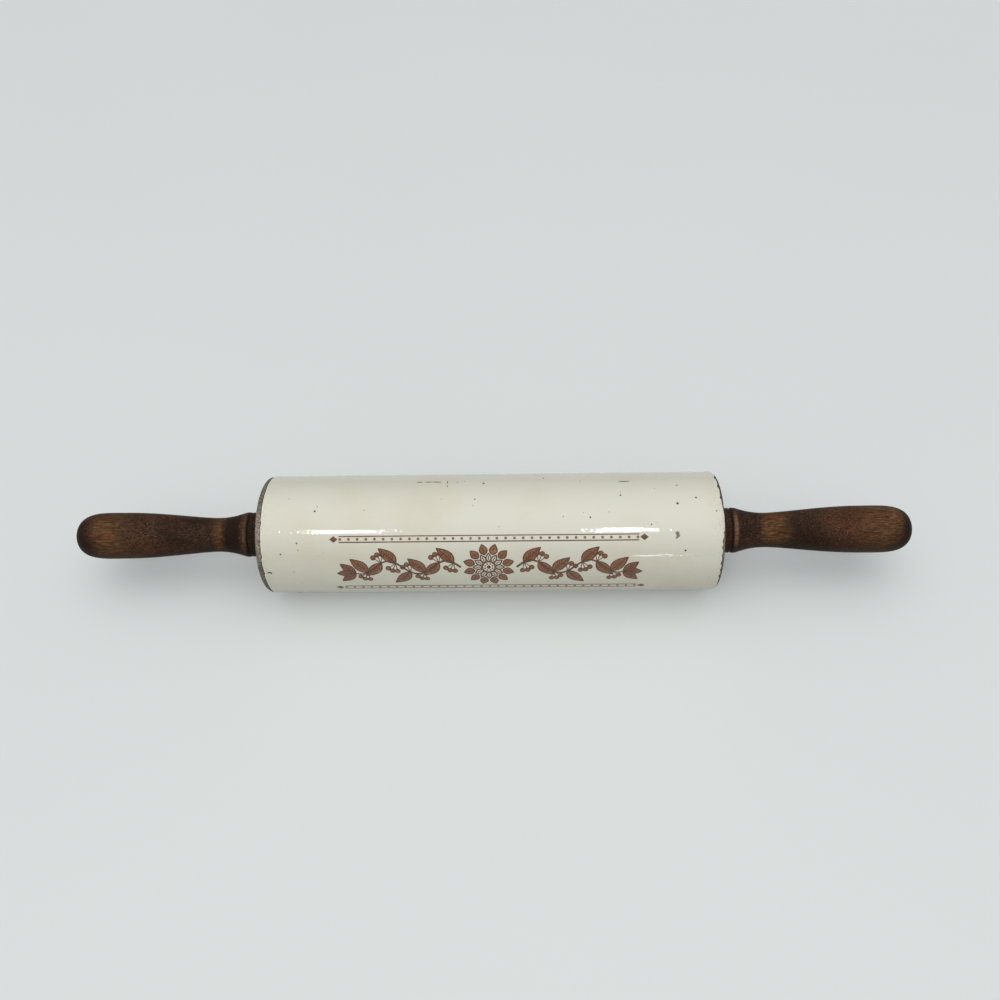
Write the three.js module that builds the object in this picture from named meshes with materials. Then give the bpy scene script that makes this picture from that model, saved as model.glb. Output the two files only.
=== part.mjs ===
// Rolling pin with a hollow stoneware barrel that turns on a steel rod between two turned wooden handles.
// Millimetres, +Z up, +X along the pin. The origin is on the table under the middle of the pin's length.
import * as THREE from 'three';

// Barrel
const ROLLER_DIAMETER = 60;
const ROLLER_LENGTH = 226.5;
const ROLLER_WALL = 9;
const ROLLER_END_WALL = 12;
const ROLLER_EDGE_ROUND = 2.4;
const CAVITY_CORNER_ROUND = 6;

// Rod that carries both handles
const ROD_DIAMETER = 8;
const ROD_END_CHAMFER = 0.8;

// Flanged bush in each end of the barrel
const BUSH_WALL = 3.5;
const BUSH_FLANGE_WIDTH = 3;
const BUSH_FLANGE_THICKNESS = 2;

// Thrust washer between each handle and its bush
const WASHER_DIAMETER = 18;
const WASHER_THICKNESS = 1.6;

// Handle, measured outwards from the flat face of its collar
const HANDLE_LENGTH = 96.4;
const SOCKET_DEPTH = 40;
const COLLAR_DIAMETER = 22.7;
const COLLAR_LENGTH = 5;
const COLLAR_EDGE_ROUND = 0.8;
const GROOVE_WIDTH = 1.4;
const GROOVE_DEPTH = 0.6;
const SHOULDER_DIAMETER = 23;
const SHOULDER_RISE = 1.05;
const WAIST_DIAMETER = 17.5;
const WAIST_FROM_COLLAR = 23.3;
const BELLY_DIAMETER = 23.8;
const BELLY_FROM_TIP = 25.3;

// How far each end of a handle's curves runs straight on, as a share of the curve's length
const SHOULDER_FULLNESS = 0.13;
const WAIST_FULLNESS_INNER = 0.58;
const WAIST_FULLNESS_OUTER = 0.2;
const BELLY_FULLNESS_INNER = 0.39;
const BELLY_FULLNESS_OUTER = 0.54;
const TIP_FULLNESS = 1.12;

// Clearances
const RUNNING_CLEARANCE = 0.35;
const SEAT_GAP = 0.3;
const END_PLAY = 1.8;

// Facets round each piece, a multiple of four so that flats face up, down and sideways
const ROLLER_SIDES = 48;
const HANDLE_SIDES = 40;
const ROD_SIDES = 32;

// Straight steps in each small round and in each long curve of an outline
const ROUND_STEPS = 4;
const CURVE_STEPS = 9;

// Sizes that follow from those above
const rollerRadius = ROLLER_DIAMETER / 2;
const rollerEnd = ROLLER_LENGTH / 2;
const rodRadius = ROD_DIAMETER / 2;
const rodHoleRadius = rodRadius + RUNNING_CLEARANCE;
const sleeveRadius = rodHoleRadius + BUSH_WALL;
const flangeRadius = sleeveRadius + BUSH_FLANGE_WIDTH;
const washerSpace = SEAT_GAP + WASHER_THICKNESS + SEAT_GAP;
const collarFace = rollerEnd + washerSpace + END_PLAY / 2;
const axisHeight = rollerRadius * Math.cos(Math.PI / ROLLER_SIDES);
const quarterTurn = Math.PI / 2;

// A point of a turned outline: its distance from the axis, and its place along it
function at(radius, along) {
  return new THREE.Vector2(radius, along);
}

// An elliptical stretch of a turned outline between two angles, counted from the radial direction
function arc(centre, radialReach, axialReach, from, to) {
  const ellipse = new THREE.EllipseCurve(centre.x, centre.y, radialReach, axialReach, from, to, to < from);
  return ellipse.getPoints(ROUND_STEPS);
}

// A smooth stretch that leaves its start towards one guide point and reaches its end from the other
function sweep(start, startGuide, endGuide, end) {
  return new THREE.CubicBezierCurve(start, startGuide, endGuide, end).getPoints(CURVE_STEPS);
}

// Turns an outline about the X axis, with a flat facet facing straight down
function turned(outline, sides) {
  const joined = outline.filter((point, i) => i === 0 || !point.equals(outline[i - 1]));
  return new THREE.LatheGeometry(joined, sides, Math.PI / sides).rotateZ(-quarterTurn);
}

function addPiece(group, name, geometry, material) {
  const piece = new THREE.Mesh(geometry, material);
  piece.name = name;
  group.add(piece);
  return piece;
}

// A right-hand piece and the same piece turned end for end on the left
function addPair(group, name, geometry, material) {
  addPiece(group, `right_${name}`, geometry, material);
  addPiece(group, `left_${name}`, geometry, material).rotation.z = Math.PI;
}

// The hollow barrel: rounded rims, thick end walls, and a recessed bore in each end for a bush
function rollerGeometry() {
  const rim = ROLLER_EDGE_ROUND;
  const corner = CAVITY_CORNER_ROUND;
  const cavityRadius = rollerRadius - ROLLER_WALL;
  const cavityEnd = rollerEnd - ROLLER_END_WALL;
  const boreRadius = sleeveRadius + SEAT_GAP;
  const recessRadius = flangeRadius + SEAT_GAP;
  const recessFloor = rollerEnd - BUSH_FLANGE_THICKNESS - SEAT_GAP;
  return turned([
    at(recessRadius, -rollerEnd),
    ...arc(at(rollerRadius - rim, rim - rollerEnd), rim, rim, -quarterTurn, 0),
    ...arc(at(rollerRadius - rim, rollerEnd - rim), rim, rim, 0, quarterTurn),
    at(recessRadius, rollerEnd),
    at(recessRadius, recessFloor),
    at(boreRadius, recessFloor),
    at(boreRadius, cavityEnd),
    ...arc(at(cavityRadius - corner, cavityEnd - corner), corner, corner, quarterTurn, 0),
    ...arc(at(cavityRadius - corner, corner - cavityEnd), corner, corner, 0, -quarterTurn),
    at(boreRadius, -cavityEnd),
    at(boreRadius, -recessFloor),
    at(recessRadius, -recessFloor),
    at(recessRadius, -rollerEnd),
  ], ROLLER_SIDES);
}

// A top-hat bush: its sleeve fills the end wall's bore, and its flange lies flush in the recess
function bushGeometry() {
  const sleeveEnd = rollerEnd - ROLLER_END_WALL;
  const flangeBack = rollerEnd - BUSH_FLANGE_THICKNESS;
  return turned([
    at(rodHoleRadius, sleeveEnd),
    at(sleeveRadius, sleeveEnd),
    at(sleeveRadius, flangeBack),
    at(flangeRadius, flangeBack),
    at(flangeRadius, rollerEnd),
    at(rodHoleRadius, rollerEnd),
    at(rodHoleRadius, sleeveEnd),
  ], ROD_SIDES);
}

// A flat washer that lies against the handle's collar
function washerGeometry() {
  const outerFace = collarFace - SEAT_GAP;
  const innerFace = outerFace - WASHER_THICKNESS;
  const radius = WASHER_DIAMETER / 2;
  return turned([
    at(rodHoleRadius, innerFace),
    at(radius, innerFace),
    at(radius, outerFace),
    at(rodHoleRadius, outerFace),
    at(rodHoleRadius, innerFace),
  ], ROD_SIDES);
}

// The rod reaches to the bottom of both handles' sockets
function rodGeometry() {
  const rodEnd = collarFace + SOCKET_DEPTH - SEAT_GAP;
  const tipRadius = rodRadius - ROD_END_CHAMFER;
  return turned([
    at(0, -rodEnd),
    at(tipRadius, -rodEnd),
    at(rodRadius, ROD_END_CHAMFER - rodEnd),
    at(rodRadius, rodEnd - ROD_END_CHAMFER),
    at(tipRadius, rodEnd),
    at(0, rodEnd),
  ], ROD_SIDES);
}

// A turned handle: collar, cut groove, rounded shoulder, drawn-in waist, swelling belly and domed tip
function handleGeometry() {
  const socketRadius = rodRadius + SEAT_GAP;
  const collarRadius = COLLAR_DIAMETER / 2;
  const edge = COLLAR_EDGE_ROUND;
  const grooveMiddle = COLLAR_LENGTH + GROOVE_WIDTH / 2;
  const shoulder = at(SHOULDER_DIAMETER / 2, COLLAR_LENGTH + GROOVE_WIDTH + SHOULDER_RISE);
  const waist = at(WAIST_DIAMETER / 2, WAIST_FROM_COLLAR);
  const belly = at(BELLY_DIAMETER / 2, HANDLE_LENGTH - BELLY_FROM_TIP);
  const tip = at(0, HANDLE_LENGTH);
  const cove = waist.y - shoulder.y;
  const swell = belly.y - waist.y;
  return turned([
    at(0, SOCKET_DEPTH),
    at(socketRadius, SOCKET_DEPTH),
    at(socketRadius, 0),
    ...arc(at(collarRadius - edge, edge), edge, edge, -quarterTurn, 0),
    ...arc(at(collarRadius, grooveMiddle), GROOVE_DEPTH, GROOVE_WIDTH / 2, -quarterTurn, -3 * quarterTurn),
    ...arc(at(collarRadius, shoulder.y), shoulder.x - collarRadius, SHOULDER_RISE, -quarterTurn, 0),
    ...sweep(shoulder, at(shoulder.x, shoulder.y + cove * SHOULDER_FULLNESS),
      at(waist.x, waist.y - cove * WAIST_FULLNESS_INNER), waist),
    ...sweep(waist, at(waist.x, waist.y + swell * WAIST_FULLNESS_OUTER),
      at(belly.x, belly.y - swell * BELLY_FULLNESS_INNER), belly),
    ...sweep(belly, at(belly.x, belly.y + BELLY_FROM_TIP * BELLY_FULLNESS_OUTER),
      at(belly.x * TIP_FULLNESS, tip.y), tip),
  ], HANDLE_SIDES);
}

const glazedStoneware = new THREE.MeshStandardMaterial({ color: 0xd8d6c6, roughness: 0.2, metalness: 0 });
const darkWood = new THREE.MeshStandardMaterial({ color: 0x3a291d, roughness: 0.5, metalness: 0 });
const steel = new THREE.MeshStandardMaterial({ color: 0xb4b4b0, roughness: 0.35, metalness: 1 });
const nylon = new THREE.MeshStandardMaterial({ color: 0xe4e0d4, roughness: 0.55, metalness: 0 });

// The barrel with its bushes, pushed to the end of its play against the right-hand handle
const barrel = new THREE.Group();
barrel.position.x = END_PLAY / 2;
addPiece(barrel, 'roller', rollerGeometry(), glazedStoneware);
addPair(barrel, 'bush', bushGeometry(), nylon);

// The spindle: the rod with a washer and a handle on each end
const spindle = new THREE.Group();
addPiece(spindle, 'axle_rod', rodGeometry(), steel);
addPair(spindle, 'washer', washerGeometry(), steel);
addPair(spindle, 'handle', handleGeometry().translate(collarFace, 0, 0), darkWood);

const rollingPin = new THREE.Group();
rollingPin.position.z = axisHeight;
rollingPin.add(barrel, spindle);

export default rollingPin;
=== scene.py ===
# Looks of the rolling pin: glazed barrel with bare rims and a printed vine, worn handles, rod and bushes.
# Metres, in the part's own frame: +X along the pin, +Z up, the viewer towards -Y.
import math
import random

import bmesh
import bpy
from mathutils import Matrix, Vector, noise


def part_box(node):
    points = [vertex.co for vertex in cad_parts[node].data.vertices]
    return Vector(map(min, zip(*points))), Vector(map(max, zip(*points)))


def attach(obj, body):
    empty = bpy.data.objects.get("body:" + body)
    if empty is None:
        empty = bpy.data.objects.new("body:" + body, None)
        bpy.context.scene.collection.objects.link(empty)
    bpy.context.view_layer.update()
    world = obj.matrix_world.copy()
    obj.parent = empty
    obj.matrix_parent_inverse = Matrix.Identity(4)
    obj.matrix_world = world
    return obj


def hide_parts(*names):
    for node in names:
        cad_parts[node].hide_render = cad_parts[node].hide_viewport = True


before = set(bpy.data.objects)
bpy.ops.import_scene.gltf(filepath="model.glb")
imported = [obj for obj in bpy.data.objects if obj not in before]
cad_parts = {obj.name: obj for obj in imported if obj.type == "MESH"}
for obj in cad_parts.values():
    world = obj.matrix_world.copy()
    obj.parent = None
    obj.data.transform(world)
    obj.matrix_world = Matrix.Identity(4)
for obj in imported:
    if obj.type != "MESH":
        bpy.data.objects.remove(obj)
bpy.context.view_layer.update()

MM = 0.001
FULL_TURN = 2 * math.pi
QUARTER_TURN = math.pi / 2

# Places taken from the frame
ROLLER_LOW, ROLLER_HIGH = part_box("roller")
AXIS_Z = (ROLLER_LOW.z + ROLLER_HIGH.z) / 2
ROLLER_RADIUS = (ROLLER_HIGH.z - ROLLER_LOW.z) / 2
ROLLER_MIDDLE = (ROLLER_LOW.x + ROLLER_HIGH.x) / 2
ROLLER_HALF = ROLLER_HIGH.x - ROLLER_MIDDLE
ROD_LOW, ROD_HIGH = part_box("axle_rod")
ROD_RADIUS = (ROD_HIGH.z - ROD_LOW.z) / 2

# Rod, bushes and washers
ROD_CHAMFER = 0.8 * MM
SEAT_GAP = 0.3 * MM
RUNNING_CLEARANCE = 0.35 * MM
BUSH_WALL = 3.5 * MM
BUSH_HOLE = ROD_RADIUS + RUNNING_CLEARANCE
SLEEVE_RADIUS = BUSH_HOLE + BUSH_WALL
FLANGE_THICKNESS = 2 * MM
FLANGE_WIDTH = 3 * MM
EDGE_BREAK = 0.25 * MM
SMALL_SEGMENTS = 96

# Barrel
RIM_ROUND = 2.4 * MM
END_WALL = 12 * MM
BARREL_WALL = 9 * MM
CAVITY_CORNER = 6 * MM
BARREL_STEP = 2 * MM
BARREL_SEGMENTS = 480

# Glaze: its thickness, where it starts at each rim, how ragged it is there, and where it is level all round
GLAZE_THICKNESS = 0.3 * MM
LEFT_GLAZE_START = 4.5 * MM
RIGHT_GLAZE_START = 2.8 * MM
LEFT_RAGGED = 0.30 * MM
RIGHT_RAGGED = 0.22 * MM
LEVEL_GLAZE_START = 12 * MM
GLAZE_WAVE = 0.02 * MM
GLAZE_WAVE_LENGTH = 17 * MM
CALM_GLAZE = 68 * MM
GLAZE_IOR = 1.52

# Stretch of the right rim where the glaze runs nearer to the end: angle above the front, spread and run
GLAZE_RUN_ANGLE = math.radians(61)
GLAZE_RUN_SPREAD = math.radians(15)
GLAZE_RUN = 1.1 * MM

# Olive stains under the glaze: millimetres from the barrel's middle, degrees above the front, and the inner
# and outer bound of the stain's edge in millimetres
STAINS = ((90.1, 49.8, 0.6, 1.2), (90.5, 47.6, 0.5, 1.1), (89.8, 45.8, 0.2, 0.9))

# Degrees above the front where the bare clay is rubbed most and painted palest as painted light, and where
# the right rim is least soiled
CLAY_RUBBED_AND_LIT = 49
RIGHT_LEAST_SOILED = 36

# Handle, measured outwards from the flat face of its collar
SOCKET_DEPTH = 40 * MM
COLLAR_RADIUS = 11.35 * MM
COLLAR_LENGTH = 5 * MM
COLLAR_EDGE_ROUND = 0.8 * MM
GROOVE_WIDTH = 1.4 * MM
GROOVE_DEPTH = 0.6 * MM
SHOULDER_RADIUS = 11.5 * MM
SHOULDER_RISE = 1.05 * MM
WAIST_RADIUS = 8.75 * MM
WAIST_FROM_COLLAR = 23.3 * MM
BELLY_RADIUS = 11.9 * MM
BELLY_FROM_TIP = 25.3 * MM
HANDLE_SEGMENTS = 160

# How far each end of a handle's curves runs straight on, as a share of the curve's length
SHOULDER_FULLNESS = 0.13
WAIST_FULLNESS_INNER = 0.58
WAIST_FULLNESS_OUTER = 0.2
BELLY_FULLNESS_INNER = 0.39
BELLY_FULLNESS_OUTER = 0.54
TIP_FULLNESS = 1.12

# Steps along the rounds and curves
ROUND_STEPS = 6
CAVITY_STEPS = 8
GROOVE_STEPS = 12
COVE_STEPS = 24
BELLY_STEPS = 32

# Edges sharper than this stay sharp
SHARP_EDGE = math.radians(50)


def srgb(red, green, blue):
    """Linear colour of a display colour given as 0 to 255."""
    def linear(value):
        share = value / 255
        return share / 12.92 if share <= 0.04045 else ((share + 0.055) / 1.055) ** 2.4
    return (linear(red), linear(green), linear(blue), 1.0)


def on_axis(x, radius, angle):
    """Point at a distance from the pin's axis, at an angle counted up from the front."""
    return Vector((x, -radius * math.cos(angle), AXIS_Z + radius * math.sin(angle)))


def upper_front(degrees):
    """Direction across the pin at an angle above the front."""
    angle = math.radians(degrees)
    return (0.0, -math.cos(angle), math.sin(angle))


# Materials

class Graph:
    """Nodes of a material or of the world, with the place or direction that they start from."""

    def __init__(self, tree, start):
        self.nodes = tree.nodes
        self.links = tree.links
        self.place = self.nodes.new("ShaderNodeTexCoord").outputs[start]

    def feed(self, socket, value):
        """Links a socket to another one, or sets its own value."""
        if isinstance(value, bpy.types.NodeSocket):
            self.links.new(value, socket)
        else:
            socket.default_value = value

    def operate(self, kind, operation, first, second):
        node = self.nodes.new(kind)
        node.operation = operation
        self.feed(node.inputs[0], first)
        self.feed(node.inputs[1], second)
        return node.outputs

    def maths(self, operation, first, second=0.0):
        return self.operate("ShaderNodeMath", operation, first, second)["Value"]

    def vector_maths(self, operation, first, second):
        return self.operate("ShaderNodeVectorMath", operation, first, second)

    def times(self, first, second):
        return self.maths("MULTIPLY", first, second)

    def larger(self, first, second):
        return self.maths("MAXIMUM", first, second)

    def texture(self, kind, along, across):
        """Texture with features of the sizes given along and across the pin."""
        node = self.nodes.new(kind)
        scale = (1 / along, 1 / across, 1 / across)
        self.feed(node.inputs["Vector"], self.vector_maths("MULTIPLY", self.place, scale)["Vector"])
        node.inputs["Scale"].default_value = 1.0
        return node

    def noise(self, along, across=None, detail=3.0, roughness=0.5):
        """Random value from 0 to 1."""
        node = self.texture("ShaderNodeTexNoise", along, across or along)
        node.inputs["Detail"].default_value = detail
        node.inputs["Roughness"].default_value = roughness
        return node.outputs["Fac"]

    def cells(self, along, across=None):
        """Distance from scattered points, as a share of their spacings."""
        return self.texture("ShaderNodeTexVoronoi", along, across or along).outputs["Distance"]

    def axis(self, letter):
        node = self.nodes.new("ShaderNodeSeparateXYZ")
        self.feed(node.inputs[0], self.place)
        return node.outputs[letter]

    def along(self, direction, origin):
        """Distance of the place along a direction, from an origin."""
        away = self.vector_maths("SUBTRACT", self.place, origin)["Vector"]
        return self.vector_maths("DOT_PRODUCT", away, direction)["Value"]

    def towards(self, degrees):
        """Distance of the place from the pin's axis, towards an angle above the front."""
        return self.along(upper_front(degrees), (0.0, 0.0, AXIS_Z))

    def distance(self, point):
        """Distance of the place from a point."""
        return self.vector_maths("DISTANCE", self.place, point)["Value"]

    def from_axis(self):
        """Distance of the place from the pin's axis."""
        across = self.vector_maths("MULTIPLY", self.place, (0.0, 1.0, 1.0))["Vector"]
        return self.vector_maths("DISTANCE", across, (0.0, 0.0, AXIS_Z))["Value"]

    def seen(self):
        """One where the place is seen, also in a mirror or through glass, and zero for light from it."""
        rays = self.nodes.new("ShaderNodeLightPath").outputs
        mirrored = self.larger(rays["Is Glossy Ray"], rays["Is Transmission Ray"])
        return self.larger(rays["Is Camera Ray"], mirrored)

    def fade(self, value, low, high, to_low=0.0, to_high=1.0):
        """Smooth step of a value between two bounds."""
        node = self.nodes.new("ShaderNodeMapRange")
        node.interpolation_type = "SMOOTHSTEP"
        self.feed(node.inputs["Value"], value)
        bounds = {"From Min": low, "From Max": high, "To Min": to_low, "To Max": to_high}
        for name, bound in bounds.items():
            node.inputs[name].default_value = bound
        return node.outputs["Result"]

    def mix(self, share, first, second, blend="MIX"):
        """Colour between two colours."""
        node = self.nodes.new("ShaderNodeMix")
        node.data_type = "RGBA"
        node.blend_type = blend
        self.feed(node.inputs[0], share)
        self.feed(node.inputs[6], first)
        self.feed(node.inputs[7], second)
        return node.outputs[2]

    def bump(self, height, distance, under=None):
        """Normal of a relief, on top of another one where that is given."""
        node = self.nodes.new("ShaderNodeBump")
        self.feed(node.inputs["Height"], height)
        node.inputs["Distance"].default_value = distance
        if under is not None:
            self.feed(node.inputs["Normal"], under)
        return node.outputs["Normal"]


class Shader(Graph):
    """A node material around its Principled shader."""

    def __init__(self, name):
        self.material = bpy.data.materials.new(name)
        self.material.use_nodes = True
        super().__init__(self.material.node_tree, "Object")
        self.principled = self.nodes["Principled BSDF"]

    def surface(self, **sockets):
        for name, value in sockets.items():
            self.feed(self.principled.inputs[name.replace("_", " ")], value)
        return self.material


def glaze_material():
    """Gloss cream glaze: soft clouding, dust near the rims, fine iron specks and a rippled skin."""
    shader = Shader("cream_glaze")
    cloud = shader.fade(shader.noise(38 * MM, detail=4), 0.35, 0.7)
    colour = shader.mix(cloud, srgb(230, 228, 211), srgb(226, 220, 199))
    from_middle = shader.maths("ABSOLUTE", shader.maths("SUBTRACT", shader.axis("X"), ROLLER_MIDDLE))
    near_rim = shader.fade(from_middle, ROLLER_HALF - 9 * MM, ROLLER_HALF - 1 * MM)
    dust = shader.fade(shader.noise(1.3 * MM, detail=4, roughness=0.7), 0.52, 0.66, 0.0, 0.35)
    colour = shader.mix(shader.times(near_rim, dust), colour, srgb(168, 158, 136))
    speck = shader.fade(shader.cells(6.5 * MM), 0.028, 0.05, 0.75, 0.0)
    colour = shader.mix(speck, colour, srgb(96, 84, 62))
    scuff = shader.fade(shader.noise(16 * MM, 1.2 * MM, detail=5, roughness=0.65), 0.66, 0.74, 0.0, 0.1)
    colour = shader.mix(scuff, colour, srgb(150, 148, 138))
    for along, degrees, inner, outer in STAINS:
        point = on_axis(ROLLER_MIDDLE + along * MM, ROLLER_RADIUS, math.radians(degrees))
        stain = shader.fade(shader.distance(point), inner * MM, outer * MM, 0.9, 0.0)
        colour = shader.mix(stain, colour, srgb(98, 95, 62))
    gloss = shader.fade(shader.noise(9 * MM, detail=5), 0.3, 0.75, 0.05, 0.11)
    dull_rim = shader.fade(from_middle, ROLLER_HALF - 5.5 * MM, ROLLER_HALF - 3 * MM, 0.0, 0.22)
    from_calm = shader.maths("ABSOLUTE", shader.maths("SUBTRACT", from_middle, CALM_GLAZE))
    rippled = shader.fade(from_calm, 8 * MM, 17 * MM, 0.15, 1.0)
    ripple = shader.times(shader.noise(2.2 * MM, 1.8 * MM, detail=1), rippled)
    skin = shader.bump(shader.noise(14 * MM, 7 * MM, detail=2), 0.08 * MM)
    skin = shader.bump(ripple, 0.06 * MM, under=skin)
    return shader.surface(Base_Color=colour, Roughness=shader.larger(gloss, dull_rim), Normal=skin,
                          IOR=GLAZE_IOR)


def lip_highlight_material():
    """Thick rolled edge of the glaze, duller than the rest, painted paler as a painted highlight along the
    rim.
    """
    shader = Shader("glaze_lip_painted_highlight")
    cloud = shader.fade(shader.noise(3 * MM, detail=4), 0.4, 0.6)
    colour = shader.mix(cloud, srgb(249, 248, 240), srgb(232, 228, 212))
    return shader.surface(Base_Color=colour, Roughness=0.4)


def clay_rim(shader, grain):
    """Colour of the bare rims: sandy and gritty, greenish, pinkish and paler towards the upper front, partly
    rubbed and partly painted light, and soiled on the right.
    """
    green = shader.mix(grain, srgb(70, 67, 55), srgb(148, 143, 125))
    pink = shader.mix(grain, srgb(110, 96, 84), srgb(186, 171, 157))
    # Painted light: the pinker, paler tone is centred where the rim faces the lamps.
    blotch = shader.times(shader.noise(6 * MM, detail=4), 8 * MM)
    rubbed_and_lit = shader.maths("ADD", shader.towards(CLAY_RUBBED_AND_LIT), blotch)
    colour = shader.mix(shader.fade(rubbed_and_lit, 29 * MM, 33 * MM), green, pink)
    right_end = shader.fade(shader.axis("X"), ROLLER_MIDDLE, ROLLER_HIGH.x - 10 * MM)
    soil = shader.fade(shader.towards(RIGHT_LEAST_SOILED), 20 * MM, 28 * MM, 0.9, 0.2)
    colour = shader.mix(shader.times(right_end, soil), colour, srgb(66, 61, 51))
    grit = shader.fade(shader.cells(1.3 * MM), 0.14, 0.28, 0.8, 0.0)
    return shader.mix(grit, colour, srgb(58, 52, 42))


def clay_material():
    """Bare fired clay, calm grey on the end faces and sandy round the rims."""
    shader = Shader("bare_clay")
    grain = shader.fade(shader.noise(0.8 * MM, detail=4, roughness=0.7), 0.35, 0.65)
    cloud = shader.fade(shader.noise(9 * MM, detail=4), 0.35, 0.65)
    face = shader.mix(cloud, srgb(156, 148, 131), srgb(172, 162, 147))
    face = shader.mix(shader.times(grain, 0.45), face, srgb(124, 116, 100))
    outward = shader.fade(shader.from_axis(), ROLLER_RADIUS - 4 * MM, ROLLER_RADIUS - 2 * MM)
    colour = shader.mix(outward, face, clay_rim(shader, grain))
    relief = shader.bump(shader.noise(0.5 * MM, detail=5, roughness=0.7), 0.12 * MM)
    return shader.surface(Base_Color=colour, Roughness=0.92, Specular_IOR_Level=0.3, Normal=relief)


def dark_edge_material():
    """Darker clay in the corner against the glaze and along the worn edge of the end face."""
    shader = Shader("rim_dark_edge")
    cloud = shader.fade(shader.noise(2.5 * MM, detail=4), 0.4, 0.65)
    colour = shader.mix(cloud, srgb(58, 52, 42), srgb(112, 103, 88))
    return shader.surface(Base_Color=colour, Roughness=0.95, Specular_IOR_Level=0.2)


def ink_material(name, dark, light):
    """Printed ceramic colour under the gloss: mottled, thin in places."""
    shader = Shader(name)
    mottle = shader.fade(shader.noise(0.9 * MM, detail=4, roughness=0.7), 0.32, 0.68)
    colour = shader.mix(mottle, dark, light)
    thin = shader.fade(shader.noise(5 * MM, detail=5, roughness=0.6), 0.58, 0.75, 0.0, 0.35)
    colour = shader.mix(thin, colour, srgb(214, 200, 178))
    return shader.surface(Base_Color=colour, Roughness=0.16, IOR=GLAZE_IOR)


def speck_material():
    """Iron specks and old scratches in the glaze."""
    shader = Shader("iron_speck")
    colour = shader.mix(shader.noise(0.4 * MM), srgb(24, 20, 15), srgb(54, 46, 36))
    return shader.surface(Base_Color=colour, Roughness=0.5)


# Reddish tint of some clouds in the wood, as shares of each colour that stay
RED_TINT = (1.15, 0.88, 0.8, 1.0)

# Degrees above the front where the handles' beads are rubbed most and carry the most painted highlight
BEAD_RUBBED_AND_LIT = 54

# Wear of each handle, with reaches from the collar in millimetres and angles in degrees above the front.
# A worn band starts, is full, fades and ends at its four reaches, and is worn most on the handle's side.
# Each patch has its reach and angle, the inner and outer bound of its edge, and its share; the patch at the
# tip is painted shade on its lower front.
# The other shares are of the wear of waist and tip, of the bead's wear and painted highlight, and of the
# dark stain left on collar and cove.
LEFT_WEAR = {
    "side": 52, "waist": (18.4, 19.4, 21.4, 25), "tip": (64, 75, 81, 88), "bead": (5.7, 6.3, 7.0, 8.8),
    "waist_share": 0.55, "tip_share": 0.85, "bead_share": 0.48, "collar_share": 0.62, "cove_share": 0.8,
    "dark_patch": (36, 62, 5, 20, 0.35), "warm_patch": (64, 12, 4, 13, 0.22),
    "painted_tip_shade": (90, 12, 3, 14, 0.7),
}
RIGHT_WEAR = {
    "side": 72, "waist": (19.8, 22.4, 27.5, 37), "tip": (61, 80, 86, 91.5), "bead": (5.8, 6.3, 7.6, 8.8),
    "waist_share": 1.0, "tip_share": 1.0, "bead_share": 1.0, "collar_share": 0.25, "cove_share": 0.2,
    "dark_patch": (41, 12, 5, 20, 0.6), "warm_patch": (61, 72, 4, 17, 0.22),
    "painted_tip_shade": (91, 8, 3, 13, 0.7),
}

# Reaches in millimetres on both handles: painted shade in the groove, the end of the collar's stain, the
# start of the cove's stain and the start of the end grain
GROOVE_SHADE = (4.9, 5.2, 5.8, 6.2)
COLLAR_STAIN_END = (5.5, 6.5)
COVE_STAIN_START = (8.8, 10.5)
END_GRAIN_START = (85, 93)


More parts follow.
